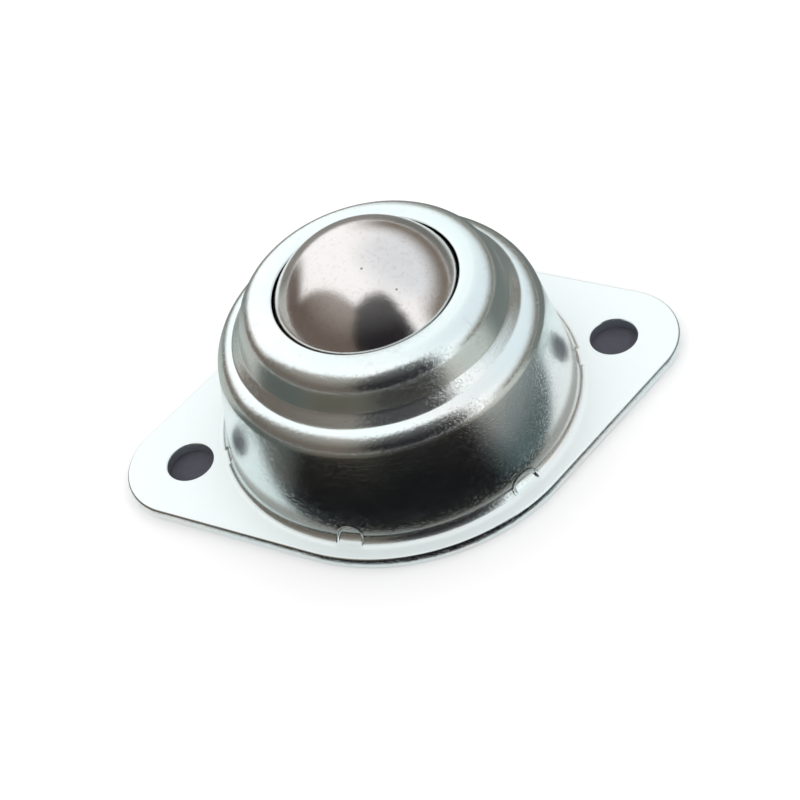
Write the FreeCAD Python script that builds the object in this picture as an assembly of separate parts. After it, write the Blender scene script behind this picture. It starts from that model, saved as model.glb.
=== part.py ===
# Flanged ball castor: a pressed steel shell with a diamond flange holds a hardened cup,
# a full layer of small bearing balls and one large load ball that stands proud of the dome.
# Frame: origin at the centre of the flange's underside, +Z up, +X along the two bolt holes.
# All lengths are in millimetres.

import FreeCAD, Part
import os
from math import acos, asin, cos, floor, pi, radians, sin, sqrt, tan
from FreeCAD import Vector

# Load ball and the bearing balls under it
BALL_D = 25.4
BEARING_D = 2.5
RUN_CLEARANCE = 0.05
BEARING_GAP = 0.04
ROW_HEADROOM = 0.2
SEPARATE_ROWS = 4

# Hardened cup
CUP_WALL = 0.9
CUP_LIFT = 0.1
CUP_RIM_DROP = 1.6
CUP_RIM_SEAT = 0.5
CUP_RIM_CORNER_R = 0.6

# Pressed shell, from the lip down to the foot
SHEET = 1.5
LIP_RISE = 6.2
LIP_CLEARANCE = 0.25
LIP_EDGE_R = 0.2
DOME_GAP = 2.0
DOME_CORNER_R = 3.2
CREASE_R = 0.8
SHOULDER_R = 3.0
CUP_RIM_FIT = 0.1
WALL_DRAFT = 10.4
FOOT_R = 1.5

# Diamond flange
FOOT_LAND = 1.35
HOLE_SPACING = 56.0
HOLE_D = 6.0
HOLE_MARGIN = 5.3
FLANGE_EDGE_R = 0.3
HOLE_EDGE_R = 0.15

# Base ring in the shell's mouth
RING_SHEET = 1.2
RING_LIFT = 2.6
RING_FIT = 0.1
RING_EDGE_R = 0.2

# Six punch marks round the foot, each with a lug inside that traps the base ring
STAKE_AZIMUTHS = (-117.0, -59.0, -5.0, 62.0, 121.0, 183.0)
STAKE_D = 3.5
STAKE_BITE = 0.5
STAKE_FLOOR = 0.3
LUG_R = 1.3
LUG_TIP_R = 0.8
LUG_H = 1.1
LUG_REACH = 0.5

# Sizes that follow from those above
BALL_R = BALL_D / 2
BEARING_R = BEARING_D / 2
ROW_SPHERE_R = BALL_R + RUN_CLEARANCE + BEARING_R
RACE_R = ROW_SPHERE_R + BEARING_R + RUN_CLEARANCE
CUP_R = RACE_R + CUP_WALL
BALL_Z = CUP_LIFT + CUP_R
CUP_RIM_Z = BALL_Z - CUP_RIM_DROP
LEDGE_Z = CUP_RIM_Z + SHEET
DOME_TOP_Z = BALL_Z + LIP_RISE
DOME_R = BALL_R + DOME_GAP + SHEET
CUP_RIM_R = DOME_R + CREASE_R + CUP_RIM_SEAT
DRAFT = tan(radians(WALL_DRAFT))
SLANT_SHEET = SHEET / cos(radians(WALL_DRAFT))
SHOULDER_TANGENT = (SHOULDER_R - SHEET) / tan(radians(90 + WALL_DRAFT) / 2)
LEDGE_R = CUP_RIM_R + CUP_RIM_FIT + SHOULDER_TANGENT
AXIS = Vector(0, 0, 1)
ORIGIN = Vector(0, 0, 0)


def inner_wall_r(z):
    """Radius of the shell's inner wall at height z; it widens towards the foot."""
    return LEDGE_R + (CUP_RIM_Z - z) * DRAFT


def outer_wall_r(z):
    """Radius of the shell's outer wall at height z, one sheet outside the inner wall."""
    return inner_wall_r(z) + SLANT_SHEET


FOOT_CORNER_R = outer_wall_r(SHEET)
FOOT_TANGENT = FOOT_R * tan(radians(90 - WALL_DRAFT) / 2)
FLANGE_R = FOOT_CORNER_R + FOOT_TANGENT + FOOT_LAND
END_R = HOLE_D / 2 + HOLE_MARGIN
RING_TOP_Z = RING_LIFT + RING_SHEET
RING_R = inner_wall_r(RING_TOP_Z) - RING_FIT


def rounded_face(corners):
    """Face in the XZ plane whose corners are (x, z, radius); a radius rounds its corner with an arc."""
    points = [Vector(x, 0, z) for x, z, radius in corners]
    starts = []
    ends = []
    edges = []
    for i, (x, z, radius) in enumerate(corners):
        corner = points[i]
        back = (points[i - 1] - corner).normalize()
        ahead = (points[(i + 1) % len(points)] - corner).normalize()
        half = back.getAngle(ahead) / 2
        reach = radius / tan(half)
        start = corner + back * reach
        end = corner + ahead * reach
        starts.append(start)
        ends.append(end)
        if radius > 0:
            middle = corner + (back + ahead).normalize() * (radius / sin(half) - radius)
            edges.append(Part.Arc(start, middle, end).toShape())
    for end, start in zip(ends, starts[1:] + starts[:1]):
        if (start - end).Length > 1e-6:
            edges.append(Part.LineSegment(end, start).toShape())
    return Part.Face(Part.Wire(Part.__sortEdges__(edges)))


def turned(corners):
    """Solid of revolution about Z with the given rounded section."""
    return rounded_face(corners).revolve(ORIGIN, AXIS, 360)


def circle_edges(solid, radius, z):
    """The solid's circular edges about Z with this radius and height."""
    found = []
    for edge in solid.Edges:
        if edge.Degenerated or not isinstance(edge.Curve, Part.Circle):
            continue
        centre = edge.Curve.Center
        if abs(edge.Curve.Radius - radius) < 1e-3 and centre.distanceToPoint(Vector(0, 0, z)) < 1e-3:
            found.append(edge)
    return found


def at_azimuth(radius, degrees, z):
    """Point at this radius from the Z axis, turned by degrees from +X."""
    return Vector(radius * cos(radians(degrees)), radius * sin(radians(degrees)), z)


def flange_outline(big_r, end_r):
    """Wire of the diamond outline: one large circle and two end circles joined by their tangents."""
    half = HOLE_SPACING / 2
    turn = acos((big_r - end_r) / half)
    normal = (cos(turn), sin(turn))
    edges = []
    for side in (1, -1):
        big = [Vector(sx * big_r * normal[0], side * big_r * normal[1], 0) for sx in (1, -1)]
        end = [Vector(sx * (half + end_r * normal[0]), side * end_r * normal[1], 0) for sx in (1, -1)]
        edges.append(Part.Arc(big[0], Vector(0, side * big_r, 0), big[1]).toShape())
        edges.append(Part.LineSegment(big[0], end[0]).toShape())
        edges.append(Part.LineSegment(big[1], end[1]).toShape())
        tip_start = Vector(side * (half + end_r * normal[0]), -end_r * normal[1], 0)
        tip_end = Vector(side * (half + end_r * normal[0]), end_r * normal[1], 0)
        edges.append(Part.Arc(tip_start, Vector(side * (half + end_r), 0, 0), tip_end).toShape())
    return Part.Wire(Part.__sortEdges__(edges))


def flange_plate():
    """Flat diamond plate with two bolt holes; its punched rims are slightly rounded on top."""
    plate = Part.Face(flange_outline(FLANGE_R, END_R)).extrude(Vector(0, 0, SHEET))
    rim = [edge for edge in plate.Edges if min(v.Point.z for v in edge.Vertexes) > SHEET - 1e-6]
    plate = plate.makeFillet(FLANGE_EDGE_R, rim)
    for side in (1, -1):
        centre = Vector(side * HOLE_SPACING / 2, 0, 0)
        hole = Part.makeCylinder(HOLE_D / 2, SHEET, centre)
        flare = Part.makeCone(HOLE_D / 2, HOLE_D / 2 + HOLE_EDGE_R, HOLE_EDGE_R,
                              centre + Vector(0, 0, SHEET - HOLE_EDGE_R))
        plate = plate.cut(hole.fuse(flare))
    return plate


def shell_form():
    """Outside of the pressing, filled: lip, dome, crease, ledge, shoulder, drafted wall and foot."""
    foot_edge = FOOT_CORNER_R + FOOT_TANGENT
    return turned([
        (0, DOME_TOP_Z, 0),
        (DOME_R, DOME_TOP_Z, DOME_CORNER_R),
        (DOME_R, LEDGE_Z, CREASE_R),
        (outer_wall_r(LEDGE_Z), LEDGE_Z, SHOULDER_R),
        (FOOT_CORNER_R, SHEET, FOOT_R),
        (foot_edge + FOOT_LAND / 2, SHEET, 0),
        (foot_edge + FOOT_LAND / 2, 0, 0),
        (0, 0, 0),
    ])


def shell_cavity():
    """Inside of the pressing, one sheet in from the outside, with a spherical lip round the ball."""
    below = -SHEET
    hollow = turned([
        (0, DOME_TOP_Z - SHEET, 0),
        (DOME_R - SHEET, DOME_TOP_Z - SHEET, DOME_CORNER_R - SHEET),
        (DOME_R - SHEET, CUP_RIM_Z, CREASE_R + SHEET),
        (inner_wall_r(CUP_RIM_Z), CUP_RIM_Z, SHOULDER_R - SHEET),
        (inner_wall_r(0), 0, FOOT_R + SHEET),
        (FLANGE_R + END_R, 0, 0),
        (FLANGE_R + END_R, below, 0),
        (0, below, 0),
    ])
    return hollow.fuse(Part.makeSphere(BALL_R + LIP_CLEARANCE, Vector(0, 0, BALL_Z)))


def stake_lug(degrees):
    """Tapered lug that one punch mark raises under the base ring's rim."""
    foot = at_azimuth(RING_R - LUG_REACH + LUG_R, degrees, RING_LIFT - LUG_H)
    return Part.makeCone(LUG_TIP_R, LUG_R, LUG_H, foot)


def stake_pocket(degrees):
    """Round punch mark driven straight down into the foot."""
    centre = at_azimuth(FOOT_CORNER_R - STAKE_BITE + STAKE_D / 2, degrees, SHEET + STAKE_FLOOR)
    return Part.makeCylinder(STAKE_D / 2, DOME_TOP_Z, centre)


def outer_shell():
    """Shell and flange, one pressing, staked at six places round the foot."""
    shell = flange_plate().fuse(shell_form()).cut(shell_cavity())
    shell = shell.fuse([stake_lug(degrees) for degrees in STAKE_AZIMUTHS])
    shell = shell.cut([stake_pocket(degrees) for degrees in STAKE_AZIMUTHS])
    shell = shell.removeSplitter()
    lip_r = sqrt((BALL_R + LIP_CLEARANCE) ** 2 - LIP_RISE ** 2)
    return shell.makeFillet(LIP_EDGE_R, circle_edges(shell, lip_r, DOME_TOP_Z))


def load_cup():
    """Hardened hemispherical cup whose turned rim seats under the shell's ledge."""
    centre = Vector(0, 0, BALL_Z)
    rim = Part.makeCylinder(CUP_RIM_R, CUP_WALL, Vector(0, 0, CUP_RIM_Z - CUP_WALL))
    bowl = Part.makeSphere(CUP_R, centre).common(Part.makeCylinder(CUP_R, CUP_RIM_Z))
    cup = bowl.fuse(rim).cut(Part.makeSphere(RACE_R, centre)).removeSplitter()
    under_rim = sqrt(CUP_R ** 2 - (CUP_RIM_DROP + CUP_WALL) ** 2)
    return cup.makeFillet(CUP_RIM_CORNER_R, circle_edges(cup, under_rim, CUP_RIM_Z - CUP_WALL))


def base_ring():
    """Flat ring in the mouth that carries the cup on its inner edge and rests on the lugs."""
    hole_r = sqrt(CUP_R ** 2 - (BALL_Z - RING_TOP_Z) ** 2)
    ring = Part.makeCylinder(RING_R, RING_SHEET, Vector(0, 0, RING_LIFT))
    ring = ring.cut(Part.makeCylinder(hole_r, RING_SHEET, Vector(0, 0, RING_LIFT)))
    return ring.makeFillet(RING_EDGE_R, circle_edges(ring, RING_R, RING_LIFT))


def faceted_ball(centre):
    """Bearing ball drawn with 26 flats, all its corners on the true ball's surface."""
    far = 1 + sqrt(2)
    signs = (-1, 1)
    corners = []
    for axis in range(3):
        for a in signs:
            for b in signs:
                for c in signs:
                    size = [a, b, c]
                    size[axis] *= far
                    corners.append(Vector(*size).normalize() * BEARING_R)
    faces = []
    steps = (-1, 0, 1)
    normals = [Vector(x, y, z) for x in steps for y in steps for z in steps if x or y or z]
    for normal in normals:
        normal.normalize()
        reach = max(corner.dot(normal) for corner in corners)
        flat = [corner for corner in corners if corner.dot(normal) > reach - 1e-6]
        side = (flat[0] - normal * reach).normalize()
        across = normal.cross(side)
        flat.sort(key=lambda p: (1 if p.dot(across) >= 0 else -1) * (1 - p.dot(side) / BEARING_R))
        faces.append(Part.Face(Part.makePolygon(flat + flat[:1])))
    ball = Part.Solid(Part.Shell(faces))
    ball.translate(centre)
    return ball


def bearing_rows():
    """Centres of the bearing balls, row by row from the bottom of the cup up to its rim."""
    pitch = BEARING_D + BEARING_GAP
    row_turn = asin(pitch / ROW_SPHERE_R)
    rows = [[Vector(0, 0, BALL_Z - ROW_SPHERE_R)]]
    while True:
        tilt = len(rows) * row_turn
        z = BALL_Z - ROW_SPHERE_R * cos(tilt)
        if z + BEARING_R > CUP_RIM_Z - ROW_HEADROOM:
            return rows
        row_r = ROW_SPHERE_R * sin(tilt)
        count = floor(pi / asin(pitch / 2 / row_r) + 1e-6)
        shift = 180 / count * (len(rows) % 2)
        rows.append([at_azimuth(row_r, shift + 360 * i / count, z) for i in range(count)])


def bearing_balls():
    """Bearing balls by node name: single balls in the lower rows, whole rows above them."""
    nodes = {}
    for level, row in enumerate(bearing_rows()):
        balls = [faceted_ball(centre) for centre in row]
        if level < SEPARATE_ROWS:
            for ball in balls:
                nodes["bearing_ball_%02d" % (len(nodes) + 1)] = ball
        else:
            nodes["bearing_ball_row_%d" % (level + 1)] = Part.makeCompound(balls)
    return nodes


def main_ball():
    """Polished load ball."""
    return Part.makeSphere(BALL_R, Vector(0, 0, BALL_Z), Vector(1, 0, 0))


def main():
    """Build every piece and write one STEP file each."""
    pieces = {
        "outer_shell": outer_shell(),
        "load_cup": load_cup(),
        "base_ring": base_ring(),
        "main_ball": main_ball(),
    }
    pieces.update(bearing_balls())
    os.makedirs("parts", exist_ok=True)
    for name, shape in pieces.items():
        shape.exportStep("parts/" + name + ".step")
        print("%s solids %d valid %s volume %.1f" % (name, len(shape.Solids), shape.isValid(), shape.Volume))
    print("overall %s" % Part.makeCompound(list(pieces.values())).optimalBoundingBox())


main()
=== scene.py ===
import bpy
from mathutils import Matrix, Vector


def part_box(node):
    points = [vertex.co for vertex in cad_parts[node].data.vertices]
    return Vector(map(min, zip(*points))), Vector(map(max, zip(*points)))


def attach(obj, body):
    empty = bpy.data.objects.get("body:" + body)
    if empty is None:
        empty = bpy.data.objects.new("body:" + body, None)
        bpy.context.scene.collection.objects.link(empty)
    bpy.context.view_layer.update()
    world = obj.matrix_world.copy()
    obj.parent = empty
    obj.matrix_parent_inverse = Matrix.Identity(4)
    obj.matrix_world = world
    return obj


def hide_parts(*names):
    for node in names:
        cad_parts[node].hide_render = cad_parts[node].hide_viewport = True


bl_info = {
    "name": "Flanged ball castor",
    "version": (1, 0, 0),
    "blender": (4, 5, 0),
    "location": "3D View > Sidebar > Ball castor",
    "description": "Dresses a ball castor's CAD frame with pressed, turned and polished steel surfaces",
    "category": "Object",
}

from math import acos, cos, pi, radians, sin, sqrt, tan

import bpy
import numpy as np
from mathutils import Matrix, Vector
from mathutils.geometry import delaunay_2d_cdt

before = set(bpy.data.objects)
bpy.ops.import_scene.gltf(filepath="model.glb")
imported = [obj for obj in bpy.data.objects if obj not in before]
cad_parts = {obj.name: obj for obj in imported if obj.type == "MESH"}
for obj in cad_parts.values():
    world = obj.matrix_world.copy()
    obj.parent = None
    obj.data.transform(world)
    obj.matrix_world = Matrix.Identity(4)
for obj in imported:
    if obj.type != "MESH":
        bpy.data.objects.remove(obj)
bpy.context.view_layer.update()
SHELL_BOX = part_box("outer_shell")
BALL_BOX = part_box("main_ball")
RING_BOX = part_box("base_ring")
BALL_CENTRE = (BALL_BOX[0] + BALL_BOX[1]) / 2


# Sizes, finishes and studio settings that a user would change

def length(text, value, about):
    """A length property in metres."""
    return bpy.props.FloatProperty(name=text, description=about, default=value, unit="LENGTH", precision=5)


def angle(text, degrees, about):
    """An angle property, written here in degrees."""
    return bpy.props.FloatProperty(name=text, description=about, default=radians(degrees), unit="ROTATION")


def share(text, value, about):
    """A plain factor from 0 to 1."""
    return bpy.props.FloatProperty(
        name=text, description=about, default=value, min=0, max=1, subtype="FACTOR")


def tone(text, colour, about):
    """A linear colour property."""
    return bpy.props.FloatVectorProperty(
        name=text, description=about, default=colour, size=3, min=0, max=1, subtype="COLOR")


class CastorSizes(bpy.types.PropertyGroup):
    """Sizes of the castor as in its CAD source, and the finer form of the dome's outside."""
    sheet: length("Sheet", 0.0015, "Thickness of the pressed sheet")
    lip_clearance: length("Lip clearance", 0.00025, "Running gap between the lip and the load ball")
    lip_edge: length("Lip edge radius", 0.0002, "Rounding of the lip's upper edge")
    dome_r: length("Dome radius", 0.0162, "Radius of the upper dome")
    dome_corner: length("Dome corner radius", 0.0032, "Rounding of the upper dome's edge")
    crease: length("Crease radius", 0.0008, "Hollow rounding that sets the sheet's inner face at the crease")
    crease_z: length("Crease height", 0.01795, "Height where the upper dome turns into the hollow, outside")
    crease_edge: length("Crease edge radius", 0.0004, "Rounding of the crease, outside")
    hollow_r: length("Hollow edge radius", 0.0180, "Radius where the hollow turns into the ledge, outside")
    hollow: length("Ledge hollow", 0.0007, "Hollow rounding from the hollow to the ledge, outside")
    ledge_slope: angle("Ledge slope", 12, "How steeply the ledge falls outwards, outside")
    dome_draft: angle("Dome draft", 17, "How far the upper dome's wall leans outwards, outside")
    ledge_z: length("Ledge height", 0.0162, "Height of the ledge over the underside")
    ledge_inner_r: length("Ledge wall radius", 0.0188497, "Radius of the inner wall under the ledge")
    shoulder: length("Shoulder radius", 0.003, "Rounding of the shoulder outside the ledge")
    draft: angle("Wall draft", 10.4, "How far the wall leans outwards")
    foot: length("Foot radius", 0.0015, "Hollow rounding between the wall and the flange")
    foot_land: length("Foot land", 0.00135, "Flat from the foot's rounding to the flange's narrow edge")
    hole_spacing: length("Hole spacing", 0.056, "Distance between the bolt holes")
    hole_d: length("Hole diameter", 0.006, "Diameter of the bolt holes")
    hole_margin: length("Hole margin", 0.0053, "Metal round each bolt hole")
    edge_roll: length("Edge roll", 0.0003, "Rounding that blanking leaves on the flange's upper edge")
    burr_edge: length("Burr edge", 0.0001, "Rounding of the lower edges")
    punch_bite: length("Punch bite", 0.00045, "How far each punch mark is pushed into the foot")
    lug_r: length("Lug radius", 0.0013, "Radius of the lug that a punch mark raises inside")
    lug_tip_r: length("Lug tip radius", 0.0008, "Radius of the lug's lower end")
    lug_h: length("Lug height", 0.0011, "Height of the lug")
    lug_reach: length("Lug reach", 0.0005, "How far the lug stands under the base ring")
    cup_wall: length("Cup wall", 0.0009, "Thickness of the cup")
    bearing_d: length("Bearing ball", 0.0025, "Diameter of the bearing balls")
    run_clearance: length("Running clearance", 0.00005, "Clearance of the bearing balls on either side")


class CastorFinish(bpy.types.PropertyGroup):
    """Colours and gloss of the castor's metals."""
    zinc_cool: tone("Zinc, cool", (0.81, 0.90, 0.90), "Bluish tint of the bright zinc plating")
    zinc_warm: tone("Zinc, warm", (0.88, 0.89, 0.87), "Warmer tint of the plating")
    zinc_gloss: share("Zinc roughness", 0.20, "Roughness of the drawn walls")
    flange_tone: tone("Flange zinc", (0.93, 1.0, 1.0), "Whiter plating of the flange's flat faces")
    flange_gloss: share("Flange roughness", 0.48, "Roughness of the flange's satin faces")
    ball_clear: tone("Ball, clean", (0.80, 0.78, 0.77), "Polished steel of the load ball")
    ball_film: tone("Ball, oil film", (0.66, 0.60, 0.55), "Steel under a thin brown oil film")
    ball_gloss: share("Ball roughness", 0.17, "Roughness of the load ball")
    cup_tone: tone("Cup steel", (0.36, 0.35, 0.35), "Hardened and tempered cup steel")
    ring_tone: tone("Ring zinc", (0.74, 0.77, 0.78), "Duller plating of the base ring")
    bearing_tone: tone("Bearing steel", (0.72, 0.71, 0.70), "Polished bearing balls")


class CastorStudio(bpy.types.PropertyGroup):
    """Camera, floor and the tent round the castor."""
    elevation: angle("Camera elevation", 46.213, "Height of the camera over the horizon")
    azimuth: angle("Camera azimuth", 1.766, "Turn of the camera round the castor")
    roll: angle("Camera roll", -17.781, "Tilt of the camera")
    distance: length("Camera distance", 0.253912, "Distance from the castor's axis at the flange")
    lens: bpy.props.FloatProperty(name="Lens", description="Focal length in millimetres", default=90.153)
    tent_r: length("Tent radius", 0.9, "Radius of the tent")
    white: bpy.props.FloatProperty(
        name="Tent white", description="Strength of the tent's white", default=1.18)


# Shapes

def rounded_path(corners, turn=0.12, straight=0.001):
    """Path along corners given as rows (r, z, radius). Each corner is replaced by the arc of its radius
    that touches both legs. Returns points, unit normals on the path's right and the wanted spacing there."""
    corners = np.asarray(corners, float)
    points, normals, spacing = [], [], []
    last = corners[0, :2]
    for before, here, after in zip(corners[:-2], corners[1:-1], corners[2:]):
        back = (before - here)[:2] / np.linalg.norm((before - here)[:2])
        ahead = (after - here)[:2] / np.linalg.norm((after - here)[:2])
        half = acos(np.clip(back @ ahead, -1, 1)) / 2
        radius = here[2]
        start = here[:2] + back * radius / tan(half)
        side = np.array([-back[1], back[0]])
        points.append(last + (start - last) * np.linspace(0, 1, 200)[:, None])
        normals.append(np.tile(side, (200, 1)))
        spacing.append(np.full(200, straight))
        middle = here[:2] + (back + ahead) / np.linalg.norm(back + ahead) * radius / sin(half)
        bulge = 1 if side @ ahead < 0 else -1
        first = side * bulge
        sweep = np.linspace(0, pi - 2 * half, 200) * bulge
        spoke = np.stack([first[0] * np.cos(sweep) - first[1] * np.sin(sweep),
                          first[0] * np.sin(sweep) + first[1] * np.cos(sweep)], axis=1)
        points.append(middle + spoke * radius)
        normals.append(spoke * bulge)
        spacing.append(np.full(200, max(radius * turn, 1e-5)))
        last = points[-1][-1]
    leg = (corners[-1] - corners[-2])[:2]
    side = np.array([leg[1], -leg[0]]) / np.linalg.norm(leg)
    points.append(last + (corners[-1, :2] - last) * np.linspace(0, 1, 200)[:, None])
    normals.append(np.tile(side, (200, 1)))
    spacing.append(np.full(200, straight))
    return np.concatenate(points), np.concatenate(normals), np.concatenate(spacing)


def resampled(points, normals, spacing):
    """The same path with rows at the wanted spacing: the steps' lengths over their spacing are added up,
    and the total is cut into equal shares."""
    steps = np.linalg.norm(np.diff(points, axis=0), axis=1)
    keep = np.concatenate([[True], steps > 1e-9])
    points, normals, spacing = points[keep], normals[keep], spacing[keep]
    steps = np.linalg.norm(np.diff(points, axis=0), axis=1)
    total = np.concatenate([[0], np.cumsum(steps / ((spacing[1:] + spacing[:-1]) / 2))])
    at = np.linspace(0, total[-1], int(np.ceil(total[-1])) + 1)
    points = np.stack([np.interp(at, total, points[:, k]) for k in (0, 1)], axis=1)
    normals = np.stack([np.interp(at, total, normals[:, k]) for k in (0, 1)], axis=1)
    return points, normals / np.linalg.norm(normals, axis=1)[:, None]


def turned_grid(points, normals, azimuths, centre=(0, 0)):
    """Grid of points (r cos a, r sin a, z) and of their normals, one row per path point."""
    spoke = np.stack([np.cos(azimuths), np.sin(azimuths)], axis=-1)
    place = np.concatenate([points[:, None, :1] * spoke + np.array(centre),
                            np.broadcast_to(points[:, None, 1:], (len(points), len(azimuths), 1))], axis=2)
    facing = np.concatenate([normals[:, None, :1] * spoke,
                             np.broadcast_to(normals[:, None, 1:], (len(points), len(azimuths), 1))], axis=2)
    return place, facing


def grid_normals(place):
    """Unit normals of a grid that closes on itself along its columns, from central differences."""
    down = np.gradient(place, axis=0)
    across = np.roll(place, -1, axis=1) - np.roll(place, 1, axis=1)
    facing = np.cross(across, down)
    return facing / np.maximum(np.linalg.norm(facing, axis=2), 1e-15)[..., None]


def grid_faces(rows, columns, first=0):
    """Quads of a grid that closes on itself along its columns."""
    index = first + np.arange(rows * columns).reshape(rows, columns)
    above, below = index[:-1], index[1:]
    quads = np.stack([above, np.roll(above, -1, axis=1), np.roll(below, -1, axis=1), below], axis=-1)
    return quads.reshape(-1, 4)


def smoothstep(x, low, high):
    """0 below low, 1 above high and an even S between them."""
    t = np.clip((x - low) / (high - low), 0, 1)
    return t * t * (3 - 2 * t)


def make_piece(name, places, facings, quads, triangles, material, body, node):
    """One mesh from stacked points, normals and faces. Doubles on shared seams are merged first."""
    points = np.concatenate(places)
    normals = np.concatenate(facings)
    cells = np.round(points / 1e-8).astype(np.int64)
    _, first, where = np.unique(cells, axis=0, return_index=True, return_inverse=True)
    where = where.reshape(-1)
    points, normals = points[first], normals[first]
    faces = [where[quads]] if len(quads) else []
    if len(triangles):
        faces.append(where[triangles])
    mesh = bpy.data.meshes.new(name)
    mesh.from_pydata(points, [], [face for block in faces for face in block.tolist()])
    mesh.shade_smooth()
    mesh.normals_split_custom_set_from_vertices(normals)
    mesh.materials.append(material)
    piece = bpy.data.objects.new(name, mesh)
    bpy.context.scene.collection.objects.link(piece)
    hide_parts(node)
    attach(piece, body)
    return piece


def make_turned(name, paths, columns, material, body, node):
    """A turned piece: each path's points go round the Z axis. A path that starts or ends on the axis
    closes there in a fan of triangles."""
    azimuths = np.linspace(0, 2 * pi, columns, endpoint=False)
    places, facings, quads, triangles, count = [], [], [], [], 0
    for points, normals in paths:
        poles = [end for end in (0, -1) if points[end, 0] < 1e-9]
        ring = points[:, 0] > 1e-9
        place, facing = turned_grid(points[ring], normals[ring], azimuths)
        rows = len(place)
        places.append(place.reshape(-1, 3))
        facings.append(facing.reshape(-1, 3))
        quads.append(grid_faces(rows, columns, count))
        turn = np.arange(columns)
        for k, end in enumerate(poles):
            tip = np.full(columns, count + rows * columns + k)
            near = count + (rows - 1) * columns * (end != 0) + turn
            after = np.roll(near, -1)
            triangles.append(np.stack([near, after, tip] if end else [after, near, tip], axis=1))
            places.append(np.array([[0, 0, points[end, 1]]]))
            facings.append(np.array([[0, 0, normals[end, 1]]]))
        count += rows * columns + len(poles)
    return make_piece(name, places, facings, np.concatenate(quads),
                      np.concatenate(triangles) if triangles else [], material, body, node)


def diamond(sizes, big_r, inset, steps=40):
    """Flange outline, set in by inset: a large circle and two end circles joined by their tangents.
    Returns points and outward normals, anticlockwise."""
    half = sizes.hole_spacing / 2
    end_r = sizes.hole_d / 2 + sizes.hole_margin
    turn = acos((big_r - end_r) / half)
    arcs = [(half, end_r, -turn, turn), (0, big_r, turn, pi - turn),
            (-half, end_r, pi - turn, pi + turn), (0, big_r, pi + turn, 2 * pi - turn)]
    points, normals = [], []
    for x, radius, start, stop in arcs:
        a = np.linspace(start, stop, steps + 1)
        spoke = np.stack([np.cos(a), np.sin(a)], axis=1)
        points.append(spoke * (radius - inset) + np.array([x, 0]))
        normals.append(spoke)
    return np.concatenate(points), np.concatenate(normals)


def flat_sheet(loops, z, up):
    """Flat face at height z between an outer loop and the inner loops, as triangles that use only the
    loops' own points (constrained Delaunay), so that its seams meet its neighbours."""
    flat = np.concatenate(loops)
    starts = np.cumsum([0] + [len(loop) for loop in loops])
    edges = [np.stack([np.arange(a, b), np.roll(np.arange(a, b), -1)], axis=1)
             for a, b in zip(starts[:-1], starts[1:])]
    found, _, faces, _, _, _ = delaunay_2d_cdt(
        [Vector(p) for p in flat * 1000], np.concatenate(edges).tolist(), [], 0, 1e-7)
    found = np.array(found) / 1000
    faces = np.array(faces)
    middle = found[faces].mean(axis=1)
    keep = inside(middle, loops[0])
    for loop in loops[1:]:
        keep &= ~inside(middle, loop)
    faces = faces[keep]
    a, b, c = found[faces[:, 0]], found[faces[:, 1]], found[faces[:, 2]]
    area = (b - a)[:, 0] * (c - a)[:, 1] - (b - a)[:, 1] * (c - a)[:, 0]
    faces = np.where((area > 0)[:, None] == (up > 0), faces, faces[:, ::-1])
    place = np.column_stack([found, np.full(len(found), z)])
    facing = np.tile([0, 0, up], (len(found), 1)).astype(float)
    return place, facing, faces


def inside(points, loop):
    """Which points lie inside a closed loop, by counting the loop's crossings to their right."""
    a, b = loop, np.roll(loop, -1, axis=0)
    y = points[:, 1:2]
    crosses = (a[:, 1] > y) != (b[:, 1] > y)
    rise = np.where(b[:, 1] == a[:, 1], 1, b[:, 1] - a[:, 1])
    x = a[:, 0] + (y - a[:, 1]) / rise * (b[:, 0] - a[:, 0])
    return (crosses & (points[:, :1] < x)).sum(axis=1) % 2 == 1


# Punch marks round the foot: azimuth in degrees, how hard each was struck, its burr, width and height
PUNCHES = np.array([
    (-117, 1.0, 0.4, 0.0034, 0.0020), (-59, 0.5, 1.0, 0.0036, 0.0014), (-5, 0.5, 1.0, 0.0030, 0.0012),
    (62, 0.9, 0.6, 0.0031, 0.0017), (121, 0.9, 0.6, 0.0031, 0.0018), (183, 0.5, 0.4, 0.0028, 0.0013)])


def punched(sizes, place):
    """The outer wall with its punch marks: inside each mark's round arch the foot is pushed in by the bite,
    and a low burr stands round the arch."""
    r = np.hypot(place[..., 0], place[..., 1])
    a = np.arctan2(place[..., 1], place[..., 0])
    z = place[..., 2]
    new_r = r.copy()
    upright, burr_h = 0.0003, 0.00004
    burr_at, burr_wide = 1.1, 0.08
    far_side = 9
    for degrees, force, burr, wide, high in PUNCHES:
        off = (a - radians(degrees) + pi) % (2 * pi) - pi
        rise = np.maximum(z - sizes.sheet - upright, 0)
        arch = np.hypot(r * np.sin(off) / (wide / 2), rise / high) + far_side * (np.cos(off) < 0)
        depth = sizes.punch_bite * force * (1 - smoothstep(arch, 0.84, 1.0))
        rim = np.exp(-((arch - burr_at) / burr_wide) ** 2) * burr * burr_h
        new_r += (rim - depth) * smoothstep(z, sizes.sheet + 0.00001, sizes.sheet + 0.00008)
    return place * np.stack([new_r / r, new_r / r, np.ones_like(r)], axis=-1)


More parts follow.
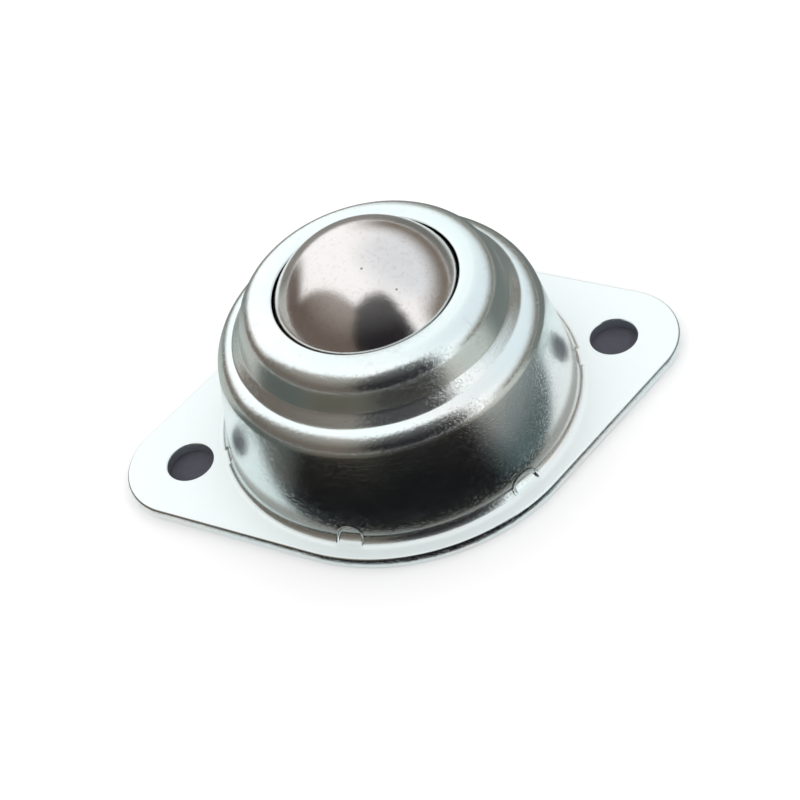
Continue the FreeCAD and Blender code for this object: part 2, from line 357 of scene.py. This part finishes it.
def lugged(sizes, place, ring_r, ring_z):
    """The inner wall with its lugs: under each punch mark the wall stands in to a tapered lug whose flat
    top carries the base ring."""
    r = np.hypot(place[..., 0], place[..., 1])
    a = np.arctan2(place[..., 1], place[..., 0])
    z = place[..., 2]
    axis_r = ring_r - sizes.lug_reach + sizes.lug_r
    low = ring_z - sizes.lug_h
    fade = 0.0001
    new_r = r.copy()
    for degrees in PUNCHES[:, 0]:
        off = (a - radians(degrees) + pi) % (2 * pi) - pi
        y = r * np.sin(off)
        wide = sizes.lug_tip_r + (sizes.lug_r - sizes.lug_tip_r) * np.clip((z - low) / sizes.lug_h, 0, 1)
        tip = axis_r - np.sqrt(np.maximum(wide ** 2 - y ** 2, 0))
        here = (np.abs(y) < wide) & (np.cos(off) > 0) & (z < ring_z + 1e-6)
        depth = np.where(here, np.maximum(r - tip, 0), 0) * smoothstep(z, low - fade, low + fade)
        new_r = np.minimum(new_r, r - depth)
    return place * np.stack([new_r / r, new_r / r, np.ones_like(r)], axis=-1)


def shell_azimuths(radius):
    """Columns round the shell: 2 degrees apart, and 0.11 mm apart round each punch mark."""
    plain = np.arange(0, 360, 2.0)
    off = (plain[:, None] - PUNCHES[:, 0] + 180) % 360 - 180
    half_width, step = 0.0022, 0.00011
    reach = np.degrees(half_width / radius)
    fine = PUNCHES[:, :1] + np.linspace(-reach, reach, int(2 * half_width / step) + 1)
    return np.radians(np.sort(np.concatenate([plain[(np.abs(off) > reach + 0.5).all(axis=1)],
                                              fine.ravel() % 360])))


# Materials

def new_material(name):
    """An empty node material and its tree."""
    material = bpy.data.materials.new(name)
    material.use_nodes = True
    material.node_tree.nodes.clear()
    return material, material.node_tree


def add(tree, kind, sockets=None, **settings):
    """Adds a node. settings are its own fields; sockets are inputs by name or number, each a value or
    the output that feeds it. Returns the node's outputs."""
    made = tree.nodes.new(kind)
    for field, value in settings.items():
        setattr(made, field, value)
    for key, value in (sockets or {}).items():
        if isinstance(value, bpy.types.NodeSocket):
            tree.links.new(value, made.inputs[key])
        else:
            made.inputs[key].default_value = value
    return made.outputs


def noise(tree, where, scale, detail=2.0, rough=0.5, stretch=(1, 1, 1)):
    """Noise from 0 to 1 on the piece's own coordinates, in cycles per metre."""
    moved = add(tree, "ShaderNodeMapping", {"Vector": where, "Scale": stretch})["Vector"]
    return add(tree, "ShaderNodeTexNoise",
               {"Vector": moved, "Scale": scale, "Detail": detail, "Roughness": rough})["Fac"]


def between(tree, value, low, high, new_low=0.0, new_high=1.0):
    """Smooth step of a value from low to high, mapped to a new range."""
    return add(tree, "ShaderNodeMapRange",
               {"Value": value, "From Min": low, "From Max": high, "To Min": new_low, "To Max": new_high},
               interpolation_type="SMOOTHSTEP")["Result"]


def calculate(tree, operation, *values):
    """One Math node."""
    return add(tree, "ShaderNodeMath", dict(enumerate(values)), operation=operation)["Value"]


def blend(tree, factor, first, second):
    """Mix of two colours."""
    mixed = tree.nodes.new("ShaderNodeMix")
    mixed.data_type = "RGBA"
    for key, value in ((0, factor), (6, first), (7, second)):
        if isinstance(value, bpy.types.NodeSocket):
            tree.links.new(value, mixed.inputs[key])
        else:
            mixed.inputs[key].default_value = value
    return mixed.outputs[2]


def rgba(colour):
    """A colour property as four values."""
    return (*colour, 1.0)


def bump(tree, height, distance, normal=None):
    """Bump node with its height in metres."""
    sockets = {"Strength": 1.0, "Distance": distance, "Height": height}
    if normal is not None:
        sockets["Normal"] = normal
    return add(tree, "ShaderNodeBump", sockets)["Normal"]


def metal(tree, colour, roughness, normal, metallic=1.0):
    """Metal surface on the output."""
    shader = add(tree, "ShaderNodeBsdfPrincipled",
                 {"Base Color": colour, "Metallic": metallic, "Roughness": roughness, "Normal": normal})
    add(tree, "ShaderNodeOutputMaterial", {"Surface": shader["BSDF"]})


def zinc_material(name, cool, warm, flat, roughness, flat_roughness, flat_z):
    """Bright zinc on pressed sheet: patches of cool and warm tint, fine crystal grain, soft orange peel
    from the drawing, faint vertical drawing marks, a whiter satin on level faces below flat_z, and a
    brown darkening in the foot's hollow just above flat_z, partly dirt and partly painted shade."""
    material, tree = new_material(name)
    place = add(tree, "ShaderNodeTexCoord")
    where = place["Object"]
    patch = between(tree, noise(tree, where, 70, 3), 0.42, 0.68)
    colour = blend(tree, patch, rgba(cool), rgba(warm))
    stain = between(tree, noise(tree, where, 420, 4, 0.7), 0.58, 0.8, 0.0, 0.2)
    colour = blend(tree, stain, colour, (0.52, 0.50, 0.47, 1.0))
    height = add(tree, "ShaderNodeSeparateXYZ", {0: where})["Z"]
    facing = calculate(tree, "ABSOLUTE", add(tree, "ShaderNodeSeparateXYZ", {0: place["Normal"]})["Z"])
    satin = calculate(tree, "MULTIPLY", between(tree, height, flat_z, flat_z + 0.001, 1.0, 0.0),
                      between(tree, facing, 0.78, 0.98))
    colour = blend(tree, satin, colour, rgba(flat))
    # Painted shade and dirt: the foot's hollow just above the flange is darkened towards brown.
    foot_dirt_and_shade = calculate(tree, "MULTIPLY", between(tree, height, flat_z + 0.0002, flat_z + 0.0009),
                      between(tree, height, flat_z + 0.0016, flat_z + 0.0032, 0.75, 0.0))
    colour = blend(tree, foot_dirt_and_shade, colour, (0.26, 0.235, 0.205, 1.0))
    gloss = calculate(tree, "MULTIPLY_ADD", satin, flat_roughness - roughness, roughness - 0.06)
    gloss = calculate(tree, "MULTIPLY_ADD", noise(tree, where, 900, 4, 0.6), 0.12, gloss)
    normal = bump(tree, noise(tree, where, 260, 2), 0.00002)
    normal = bump(tree, noise(tree, where, 900, 3, 0.5, (1, 1, 0.3)), 0.000008, normal)
    normal = bump(tree, between(tree, noise(tree, where, 3400, 3, 0.65), 0.48, 0.76), 0.00001, normal)
    metal(tree, colour, gloss, normal, calculate(tree, "MULTIPLY_ADD", satin, -0.8, 1.0))
    return material


# Tiny pits on the load ball: where on the ball, and radius
BALL_PITS = (((0.00033, -0.00388, 0.02839), 0.0002), ((0.00353, -0.00684, 0.0264), 0.00016))


def ball_material(finish):
    """Polished load ball: clean steel with a patchy oil film, hairline scratches and a few tiny pits."""
    material, tree = new_material("ball_steel")
    where = add(tree, "ShaderNodeTexCoord")["Object"]
    film = between(tree, noise(tree, where, 110, 4, 0.65), 0.5, 0.75, 0.0, 0.5)
    film = calculate(tree, "ADD", film, between(tree, noise(tree, where, 1500, 4, 0.75), 0.5, 0.7, 0.0, 0.5))
    colour = blend(tree, film, rgba(finish.ball_clear), rgba(finish.ball_film))
    away = [add(tree, "ShaderNodeVectorMath", {0: where, 1: pit_at}, operation="DISTANCE")["Value"]
            for pit_at, _ in BALL_PITS]
    pit = calculate(tree, "MAXIMUM", *(
        between(tree, value, radius * 0.5, radius, 1.0, 0.0)
        for value, (_, radius) in zip(away, BALL_PITS)))
    colour = blend(tree, calculate(tree, "MULTIPLY", pit, 0.75), colour, (0.12, 0.10, 0.09, 1.0))
    gloss = calculate(tree, "MULTIPLY_ADD", noise(tree, where, 300, 4, 0.6), 0.12, finish.ball_gloss - 0.06)
    scratch = noise(tree, where, 1500, 2, 0.5, (0.15, 1, 1))
    normal = bump(tree, scratch, 0.0000006)
    normal = bump(tree, between(tree, noise(tree, where, 3000, 3, 0.65), 0.5, 0.75), 0.000003, normal)
    normal = bump(tree, pit, -0.00002, normal)
    metal(tree, colour, gloss, normal)
    return material


def cup_material(finish):
    """Hardened cup: dark temper colour with turning rings and a grainy scale."""
    material, tree = new_material("cup_steel")
    where = add(tree, "ShaderNodeTexCoord")["Object"]
    temper = between(tree, noise(tree, where, 130, 3), 0.4, 0.7)
    colour = blend(tree, temper, rgba(finish.cup_tone), (0.28, 0.24, 0.22, 1.0))
    gloss = calculate(tree, "MULTIPLY_ADD", noise(tree, where, 700, 3), 0.2, 0.3)
    rings = add(tree, "ShaderNodeTexWave",
                {"Vector": where, "Scale": 800.0, "Distortion": 1.5, "Detail": 1.0},
                wave_type="RINGS", rings_direction="Z")["Fac"]
    normal = bump(tree, rings, 0.0000025)
    normal = bump(tree, noise(tree, where, 3600, 2), 0.000003, normal)
    metal(tree, colour, gloss, normal)
    return material


def bearing_material(finish):
    """Bearing balls: bright steel with streaks of oil."""
    material, tree = new_material("bearing_steel")
    where = add(tree, "ShaderNodeTexCoord")["Object"]
    oil = between(tree, noise(tree, where, 500, 2), 0.45, 0.7, 0.0, 0.5)
    colour = blend(tree, oil, rgba(finish.bearing_tone), (0.55, 0.47, 0.36, 1.0))
    gloss = calculate(tree, "MULTIPLY_ADD", noise(tree, where, 1200, 2), 0.08, 0.06)
    metal(tree, colour, gloss, bump(tree, noise(tree, where, 3000, 1), 0.0000005))
    return material


# Materials of the stage

def spot(tree, ray, azimuth, elevation, half, soft, ragged=None):
    """Round spot of directions about an azimuth and elevation, all in degrees: 1 inside, 0 past its soft
    edge. With level rays and no elevation it is an upright strip."""
    a, e = radians(azimuth), radians(elevation)
    aim = (cos(e) * cos(a), cos(e) * sin(a), sin(e))
    lean = add(tree, "ShaderNodeVectorMath", {0: ray, 1: aim}, operation="DOT_PRODUCT")["Value"]
    if ragged is not None:
        lean = calculate(tree, "ADD", ragged, lean)
    return between(tree, lean, cos(radians(half + soft)), cos(radians(half - soft)))


def level_ray(tree, where):
    """Direction of a point seen from the Z axis, laid level."""
    flat = add(tree, "ShaderNodeVectorMath", {0: where, 1: (1, 1, 0)}, operation="MULTIPLY")["Vector"]
    return flat, add(tree, "ShaderNodeVectorMath", {0: flat}, operation="NORMALIZE")["Vector"]


def one_sided(tree, surface):
    """Shows the surface from above and nothing from below."""
    below = add(tree, "ShaderNodeNewGeometry")["Backfacing"]
    clear = add(tree, "ShaderNodeBsdfTransparent")["BSDF"]
    both = add(tree, "ShaderNodeMixShader", {0: below, 1: surface, 2: clear})["Shader"]
    add(tree, "ShaderNodeOutputMaterial", {"Surface": both})


def tent_material(white):
    """The tent by direction: white above and behind, dull white on the right, brown low on the right and
    on the left, and dark with a ragged edge on the camera's side."""
    material, tree = new_material("tent")
    where = add(tree, "ShaderNodeTexCoord")["Object"]
    ray = add(tree, "ShaderNodeVectorMath", {0: where}, operation="NORMALIZE")["Vector"]
    level = level_ray(tree, where)[1]
    height = add(tree, "ShaderNodeSeparateXYZ", {0: ray})["Z"]
    ragged = calculate(tree, "MULTIPLY_ADD", noise(tree, ray, 5.0, 3, 0.6), 0.16, -0.08)
    dull = (0.74 * white, 0.77 * white, 0.80 * white, 1)
    colour = blend(tree, spot(tree, ray, 25, 40, 36, 20), (white, white, white, 1), dull)
    low = calculate(tree, "MULTIPLY", between(tree, height, 0.1, 0.55, 1.0, 0.0),
                    spot(tree, level, 25, 0, 58, 12))
    colour = blend(tree, low, colour, (0.20, 0.168, 0.135, 1))
    brown = blend(tree, between(tree, height, 0.3, 1.05), (0.16, 0.13, 0.11, 1), (0.43, 0.39, 0.355, 1))
    wall = calculate(tree, "MAXIMUM", spot(tree, ray, -150, 12, 52, 4), spot(tree, ray, 150, -10, 33, 6))
    colour = blend(tree, wall, colour, brown)
    front = calculate(tree, "MULTIPLY", between(tree, height, 0.1, 0.5, 1.0, 0.0),
                      spot(tree, level, -82, 0, 27, 6))
    colour = blend(tree, front, colour, (0.040, 0.038, 0.040, 1))
    dark = blend(tree, between(tree, height, 0.35, 0.95), (0.020, 0.018, 0.021, 1), (0.11, 0.11, 0.11, 1))
    blob = calculate(tree, "MULTIPLY", spot(tree, ray, -84, 33, 37, 5, ragged),
                     spot(tree, level, -85, 0, 35, 5, ragged))
    colour = blend(tree, blob, colour, dark)
    glow = add(tree, "ShaderNodeEmission", {"Color": colour, "Strength": 1.0})["Emission"]
    add(tree, "ShaderNodeOutputMaterial", {"Surface": glow})
    return material


def floor_material():
    """Pale floor: a plain matt white, which the camera and reflections see as pure white."""
    material, tree = new_material("floor")
    light = add(tree, "ShaderNodeLightPath")
    seen = calculate(tree, "MAXIMUM", light["Is Camera Ray"], light["Is Glossy Ray"])
    seen = calculate(tree, "MAXIMUM", seen, light["Is Transmission Ray"])
    colour = blend(tree, seen, (0.82, 0.82, 0.82, 1), (1.12, 1.12, 1.12, 1))
    one_sided(tree, add(tree, "ShaderNodeBsdfDiffuse", {"Color": colour})["BSDF"])
    return material


def cloth_material():
    """The dark cloth, a glowing sheet that only reflections see, by direction and distance from the castor:
    nearly black in front, grey behind, bright on the right, with painted shadow close round the castor."""
    material, tree = new_material("cloth")
    where = add(tree, "ShaderNodeTexCoord")["Object"]
    flat, level = level_ray(tree, where)
    away = add(tree, "ShaderNodeVectorMath", {0: flat}, operation="LENGTH")["Value"]
    colour = blend(tree, spot(tree, level, 100, 0, 22, 12), (0.18, 0.19, 0.18, 1), (0.26, 0.25, 0.23, 1))
    colour = blend(tree, spot(tree, level, 150, 0, 16, 10), colour, (0.50, 0.52, 0.49, 1))
    colour = blend(tree, spot(tree, level, -172, 0, 18, 9), colour, (0.11, 0.115, 0.105, 1))
    bright = blend(tree, between(tree, away, 0.040, 0.062), (0.22, 0.24, 0.24, 1), (0.60, 0.60, 0.56, 1))
    colour = blend(tree, spot(tree, level, -40, 0, 26, 10), colour, bright)
    # Painted shade in front of the castor: dark, and near black close to it as its painted shadow.
    shade = blend(tree, spot(tree, level, -82, 0, 24, 8), (0.125, 0.112, 0.088, 1), (0.045, 0.042, 0.039, 1))
    shade = blend(tree, between(tree, away, 0.042, 0.065), (0.005, 0.005, 0.006, 1), shade)
    colour = blend(tree, spot(tree, level, -104, 0, 49, 9), colour, shade)
    # Painted shadow of the flange: a darker teal ring on the cloth close round the castor, on the right.
    near = add(tree, "ShaderNodeVectorMath", {0: colour, 1: (0.36, 0.47, 0.50)},
               operation="MULTIPLY")["Vector"]
    flange_shadow = calculate(tree, "MULTIPLY", between(tree, away, 0.034, 0.040, 1.0, 0.0),
                      spot(tree, level, -35, 0, 35, 12))
    colour = blend(tree, flange_shadow, colour, near)
    one_sided(tree, add(tree, "ShaderNodeEmission", {"Color": colour, "Strength": 1.0})["Emission"])
    return material


def mat_material():
    """Dark grey mat with a fine fleck: the ground's own grey, darkened further as painted shade under the
    flange.
    """
    material, tree = new_material("mat")
    where = add(tree, "ShaderNodeTexCoord")["Object"]
    # Painted shade: the mat's grey is darkened as if the flange shaded the ground under the holes.
    grey_and_shade = blend(tree, noise(tree, where, 900, 2), (0.095, 0.095, 0.118, 1), (0.125, 0.125, 0.148, 1))
    one_sided(tree, add(tree, "ShaderNodeBsdfDiffuse", {"Color": grey_and_shade})["BSDF"])
    return material


# Operators

class CASTOR_OT_shell(bpy.types.Operator):
    """Build the pressed shell: lip, dome, ledge, wall, staked foot and flange, one sheet thick."""
    bl_idname = "castor.shell"
    bl_label = "Pressed shell"

    def execute(self, context):
        s, finish = context.scene.castor_sizes, context.scene.castor_finish
        top, ball_z, ball_r = SHELL_BOX[1].z, BALL_CENTRE.z, BALL_BOX[1].z - BALL_CENTRE.z
        draft = tan(s.draft)
        ledge_in = s.ledge_z - s.sheet

        def inner_r(z):
            """Radius of the drafted wall's inner face."""
            return s.ledge_inner_r + (ledge_in - z) * draft

        def outer_r(z):
            """Radius of the drafted wall's outer face."""
            return inner_r(z) + s.sheet / cos(s.draft)

        corner_r = outer_r(s.sheet)
        foot_edge = corner_r + s.foot * tan((pi / 2 - s.draft) / 2)
        big_r = foot_edge + s.foot_land
        lip_sphere = ball_r + s.lip_clearance
        lip_rise = top - ball_z
        lip_r = sqrt(lip_sphere ** 2 - lip_rise ** 2)
        slope = lip_rise / lip_r
        under_rise = top - s.sheet - ball_z
        under_r = sqrt(lip_sphere ** 2 - under_rise ** 2)
        drop, seam = 0.0004, 0.0003
        lean, fall = tan(s.dome_draft), tan(s.ledge_slope)
        dome_top_r = s.dome_r - s.dome_corner * (1 - cos(s.dome_draft) + (1 - sin(s.dome_draft)) * lean)
        outside = rounded_path([
            (foot_edge + seam, s.sheet, 0), (corner_r, s.sheet, s.foot),
            (outer_r(s.ledge_z), s.ledge_z, s.shoulder),
            (s.hollow_r, s.ledge_z + (outer_r(s.ledge_z) - s.hollow_r) * fall, s.hollow),
            (dome_top_r + (top - s.crease_z) * lean, s.crease_z, s.crease_edge),
            (dome_top_r, top, s.dome_corner), (lip_r, top, s.lip_edge),
            (lip_r + drop * slope, top - drop, 0)])
        points, normals, spacing = outside
        wall_from, mark_top, mark_rows = 0.02, 0.0047, 0.00011
        foot_zone = (points[:, 1] < mark_top) & (points[:, 0] > wall_from)
        spacing[foot_zone] = np.minimum(spacing[foot_zone], mark_rows)
        last = points[-1] - np.array([0, ball_z])
        tilt = np.linspace(np.arctan2(last[1], last[0]), np.arctan2(under_rise, under_r), 60)
        spoke = np.stack([np.cos(tilt), np.sin(tilt)], axis=1)
        lip = spoke * lip_sphere + np.array([0, ball_z])
        low = rounded_path([
            (under_r, top - s.sheet, 0), (s.dome_r - s.sheet, top - s.sheet, s.dome_corner - s.sheet),
            (s.dome_r - s.sheet, ledge_in, s.crease + s.sheet),
            (inner_r(ledge_in), ledge_in, s.shoulder - s.sheet), (inner_r(0), 0, s.foot + s.sheet),
            (foot_edge + seam, 0, 0)], turn=0.14)
        lug_low, lug_high, lug_rows = 0.0011, 0.0028, 0.00013
        lug_zone = (low[0][:, 1] < lug_high) & (low[0][:, 1] > lug_low) & (low[0][:, 0] > wall_from)
        low[2][lug_zone] = np.minimum(low[2][lug_zone], lug_rows)
        azimuths = shell_azimuths(corner_r)
        upper = resampled(points, normals, spacing)
        middle = resampled(lip, -spoke, np.full(60, 0.0004))
        under = resampled(*low)
        upper_place, upper_face = turned_grid(*upper, azimuths)
        middle_place, middle_face = turned_grid(*middle, azimuths)
        under_place, under_face = turned_grid(*under, azimuths)
        marked = punched(s, upper_place)
        upper_face = upper_face + grid_normals(marked) - grid_normals(upper_place)
        with_lugs = lugged(s, under_place, RING_BOX[1].x, RING_BOX[0].z)
        under_face = under_face + grid_normals(with_lugs) - grid_normals(under_place)
        grids = [(marked, upper_face), (middle_place, middle_face), (with_lugs, under_face)]

        rim = s.hole_d / 2
        quarter = np.linspace(0, pi / 2, 7)

        def blanked(radius, away):
            """Rows of a blanked edge from the upper face to the lower one, as (inset, z, out, up)."""
            inset = np.concatenate([radius * (1 - np.sin(quarter)), s.burr_edge * (1 - np.cos(quarter))])
            z = np.concatenate([s.sheet - radius * (1 - np.cos(quarter)),
                                s.burr_edge * (1 - np.sin(quarter))])
            out = np.concatenate([np.sin(quarter), np.cos(quarter)])
            lift = np.concatenate([np.cos(quarter), -np.sin(quarter)])
            return inset * away, z, out * away, lift

        outline, outward = diamond(s, big_r, 0)
        inset, z, out, lift = blanked(s.edge_roll, 1)
        edge_place = np.concatenate([outline[None] - outward[None] * inset[:, None, None],
                                     np.broadcast_to(z[:, None, None], (len(z), len(outline), 1))], axis=2)
        edge_face = np.concatenate([outward[None] * out[:, None, None],
                                    np.broadcast_to(lift[:, None, None], (len(z), len(outline), 1))], axis=2)
        grids.append((edge_place[::-1], edge_face[::-1]))
        circle = np.linspace(0, 2 * pi, 72, endpoint=False)
        top_loops, low_loops = [edge_place[0, :, :2]], [edge_place[-1, :, :2]]
        for side in (1, -1):
            inset, z, out, lift = blanked(s.edge_roll * 0.8, -1)
            hole = turned_grid(np.stack([rim - inset, z], axis=1), np.stack([out, lift], axis=1),
                               circle, (side * s.hole_spacing / 2, 0))
            grids.append(hole)
            top_loops.append(hole[0][0, :, :2])
            low_loops.append(hole[0][-1, :, :2])
        top_loops.append(marked[0, :, :2])
        low_loops.append(with_lugs[-1, :, :2])
        places, facings, quads, count = [], [], [], 0
        for place, facing in grids:
            rows, columns = place.shape[:2]
            places.append(place.reshape(-1, 3))
            facing = facing / np.linalg.norm(facing, axis=2)[..., None]
            facings.append(facing.reshape(-1, 3))
            quads.append(grid_faces(rows, columns, count))
            count += rows * columns
        triangles = []
        for loops, height, up in ((top_loops, s.sheet, 1), (low_loops, 0.0, -1)):
            place, facing, faces = flat_sheet(loops, height, up)
            places.append(place)
            facings.append(facing)
            triangles.append(faces + count)
            count += len(place)
        material = zinc_material("shell_zinc", finish.zinc_cool, finish.zinc_warm, finish.flange_tone,
                                 finish.zinc_gloss, finish.flange_gloss, s.sheet + 0.0005)
        make_piece("pressed_shell", places, facings, np.concatenate(quads), np.concatenate(triangles),
                   material, "housing", "outer_shell")
        return {"FINISHED"}


class CASTOR_OT_cup(bpy.types.Operator):
    """Build the hardened cup: a hemispherical race with a turned rim."""
    bl_idname = "castor.cup"
    bl_label = "Load cup"

    def execute(self, context):
        s, finish = context.scene.castor_sizes, context.scene.castor_finish
        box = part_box("load_cup")
        rim_r, rim_z, centre = box[1].x, box[1].z, BALL_CENTRE.z
        race_r = BALL_BOX[1].z - centre + 2 * s.run_clearance + s.bearing_d
        cup_r = race_r + s.cup_wall
        drop = centre - rim_z
        mouth_r = sqrt(race_r ** 2 - drop ** 2)
        neck_r = sqrt(cup_r ** 2 - (drop + s.cup_wall) ** 2)
        down = np.linspace(0, np.arccos((drop + s.cup_wall) / cup_r), 120)
        bowl = np.stack([np.sin(down), -np.cos(down)], axis=1)
        up = np.linspace(np.arccos(drop / race_r), 0, 120)
        race = np.stack([np.sin(up), -np.cos(up)], axis=1)
        rim = rounded_path([
            (neck_r, rim_z - s.cup_wall, 0), (rim_r, rim_z - s.cup_wall, 0.00012),
            (rim_r, rim_z, 0.0002), (mouth_r, rim_z, 0)], turn=0.3)
        spacing = np.full(120, 0.0004)
        paths = [
            resampled(bowl * cup_r + np.array([0, centre]), bowl, spacing),
            resampled(*rim),
            resampled(race * race_r + np.array([0, centre]), -race, spacing),
        ]
        make_turned("cup_turned", paths, 240, cup_material(finish), "housing", "load_cup")
        return {"FINISHED"}


class CASTOR_OT_ring(bpy.types.Operator):
    """Build the base ring that carries the cup, blanked from sheet."""
    bl_idname = "castor.ring"
    bl_label = "Base ring"

    def execute(self, context):
        finish = context.scene.castor_finish
        low, high = RING_BOX[0].z, RING_BOX[1].z
        out_r = RING_BOX[1].x
        nodes = np.array([v.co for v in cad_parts["base_ring"].data.vertices])
        in_r = float(np.hypot(nodes[:, 0], nodes[:, 1]).min())
        middle = (in_r + out_r) / 2
        path = rounded_path([
            (middle, low, 0), (out_r, low, 0.0002), (out_r, high, 0.0001), (in_r, high, 0.00005),
            (in_r, low, 0.0001), (middle, low, 0)], turn=0.3)
        material = zinc_material("ring_zinc", finish.ring_tone, (0.66, 0.63, 0.58), finish.ring_tone,
                                 0.36, 0.36, low - 0.002)
        make_turned("ring_blanked", [resampled(*path)], 240, material,
                    "housing", "base_ring")
        return {"FINISHED"}


class CASTOR_OT_ball(bpy.types.Operator):
    """Build the polished load ball."""
    bl_idname = "castor.ball"
    bl_label = "Load ball"

    def execute(self, context):
        radius = BALL_BOX[1].z - BALL_CENTRE.z
        tilt = np.linspace(-pi / 2, pi / 2, 181)
        spoke = np.stack([np.cos(tilt), np.sin(tilt)], axis=1)
        spoke[[0, -1], 0] = 0
        make_turned("ball_polished", [(spoke * radius + np.array([0, BALL_CENTRE.z]), spoke)], 360,
                    ball_material(context.scene.castor_finish), "load_ball", "main_ball")
        return {"FINISHED"}


class CASTOR_OT_bearings(bpy.types.Operator):
    """Give the bearing balls their oiled steel."""
    bl_idname = "castor.bearings"
    bl_label = "Bearing balls"

    def execute(self, context):
        material = bearing_material(context.scene.castor_finish)
        for name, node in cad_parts.items():
            if name.startswith("bearing_ball"):
                node.data.materials.clear()
                node.data.materials.append(material)
        return {"FINISHED"}


class CASTOR_OT_studio(bpy.types.Operator):
    """Set up the floor, the light tent, the white world and the camera."""
    bl_idname = "castor.studio"
    bl_label = "Studio"

    def execute(self, context):
        studio = context.scene.castor_studio
        self.camera(context, studio)
        self.surroundings(context, studio)
        self.ground(context)
        context.scene.view_settings.view_transform = "Standard"
        return {"FINISHED"}

    def camera(self, context, studio):
        """Camera at the photograph's angle, aimed at the castor's axis on the flange's upper face."""
        e, a = studio.elevation, studio.azimuth
        back = np.array([sin(a) * cos(e), -cos(a) * cos(e), sin(e)])
        right = np.array([cos(a), sin(a), 0.0])
        up = np.cross(back, right)
        c, s = cos(studio.roll), sin(studio.roll)
        axes = np.stack([c * right + s * up, -s * right + c * up, back], axis=1)
        data = bpy.data.cameras.new("camera")
        data.lens, data.sensor_width = studio.lens, 36
        # The castor stands a little off the middle of the photograph
        data.shift_x, data.shift_y = -0.00187, -0.00112
        data.clip_start, data.clip_end = 0.01, 20
        camera = bpy.data.objects.new("camera", data)
        place = Matrix(axes.tolist()).to_4x4()
        place.translation = Vector(back * studio.distance) + Vector((0, 0, context.scene.castor_sizes.sheet))
        camera.matrix_world = place
        context.scene.collection.objects.link(camera)
        context.scene.camera = camera

    def surroundings(self, context, studio):
        """White world, and a round tent that only reflections see."""
        world = bpy.data.worlds.new("studio_world")
        context.scene.world = world
        world.use_nodes = True
        world.node_tree.nodes["Background"].inputs["Color"].default_value = (1, 1, 1, 1)
        world.node_tree.nodes["Background"].inputs["Strength"].default_value = 1.0

        rows, columns = 49, 96
        tilt = np.linspace(-pi / 2, pi / 2, rows)
        azimuths = np.linspace(0, 2 * pi, columns, endpoint=False)
        path = np.stack([np.cos(tilt), np.sin(tilt)], axis=1) * studio.tent_r
        place, _ = turned_grid(path, path, azimuths)
        mesh = bpy.data.meshes.new("tent")
        mesh.from_pydata(place.reshape(-1, 3), [], grid_faces(rows, columns).tolist())
        mesh.materials.append(tent_material(studio.white))
        tent = bpy.data.objects.new("tent", mesh)
        context.scene.collection.objects.link(tent)
        tent.visible_camera = False
        tent.visible_diffuse = False
        tent.visible_shadow = False

    def ground(self, context):
        """Pale floor; a dark cloth with painted shadow round the castor and a white border round the flange
        that only reflections see; and a small dark mat under each bolt hole, its grey partly painted shade.
        All are clear from below, and the first three are open under the flange, so that light reaches its
        underside."""
        sizes = context.scene.castor_sizes
        flange_r, under, beyond = 0.0252, 0.0012, 0.0008
        opening, _ = diamond(sizes, flange_r, under, 12)
        border, _ = diamond(sizes, flange_r, -beyond, 12)
        spoke = opening / np.linalg.norm(opening, axis=1)[:, None]
        floor_r, cloth_r = 3, 0.5
        ring = grid_faces(2, len(opening)).tolist()
        count = 48
        turn = np.linspace(0, 2 * pi, count, endpoint=False)
        disc = np.stack([np.cos(turn), np.sin(turn)], axis=1) * (sizes.hole_d / 2 + 0.0004)
        side = np.array([sizes.hole_spacing / 2, 0])
        discs = np.arange(2 * count).reshape(2, count).tolist()
        white = floor_material()
        for name, loops, faces, z, material in (
                ("floor", (spoke * floor_r, opening), ring, -0.0003, white),
                ("cloth", (spoke * cloth_r, opening), ring, -0.0002, cloth_material()),
                ("border", (border, opening), ring, -0.00015, white),
                ("mat", (disc + side, disc - side), discs, -0.0001, mat_material())):
            flat = np.concatenate(loops)
            mesh = bpy.data.meshes.new(name)
            mesh.from_pydata(np.column_stack([flat, np.full(len(flat), z)]), [], faces)
            mesh.materials.append(material)
            piece = bpy.data.objects.new(name, mesh)
            context.scene.collection.objects.link(piece)
            if name in ("cloth", "border"):
                piece.visible_camera = False
                piece.visible_diffuse = False
                piece.visible_shadow = False


class CASTOR_PT_panel(bpy.types.Panel):
    """Lists the castor's pieces, sizes and finishes."""
    bl_idname = "CASTOR_PT_panel"
    bl_label = "Ball castor"
    bl_space_type = "VIEW_3D"
    bl_region_type = "UI"
    bl_category = "Ball castor"

    def draw(self, context):
        for operator in OPERATORS:
            self.layout.operator(operator.bl_idname)
        for group in (context.scene.castor_sizes, context.scene.castor_finish, context.scene.castor_studio):
            box = self.layout.box()
            for field in group.__annotations__:
                box.prop(group, field)


GROUPS = {"castor_sizes": CastorSizes, "castor_finish": CastorFinish, "castor_studio": CastorStudio}
OPERATORS = (CASTOR_OT_shell, CASTOR_OT_cup, CASTOR_OT_ring, CASTOR_OT_ball, CASTOR_OT_bearings,
             CASTOR_OT_studio)


def register():
    """Registers the property groups, operators and panel."""
    for field, group in GROUPS.items():
        bpy.utils.register_class(group)
        setattr(bpy.types.Scene, field, bpy.props.PointerProperty(type=group))
    for operator in OPERATORS:
        bpy.utils.register_class(operator)
    bpy.utils.register_class(CASTOR_PT_panel)


def unregister():
    """Takes them all out again."""
    bpy.utils.unregister_class(CASTOR_PT_panel)
    for operator in reversed(OPERATORS):
        bpy.utils.unregister_class(operator)
    for field, group in reversed(GROUPS.items()):
        delattr(bpy.types.Scene, field)
        bpy.utils.unregister_class(group)


def main():
    """Builds every piece and the studio."""
    register()
    bpy.ops.castor.shell()
    bpy.ops.castor.cup()
    bpy.ops.castor.ring()
    bpy.ops.castor.ball()
    bpy.ops.castor.bearings()
    bpy.ops.castor.studio()


if __name__ == "__main__":
    main()
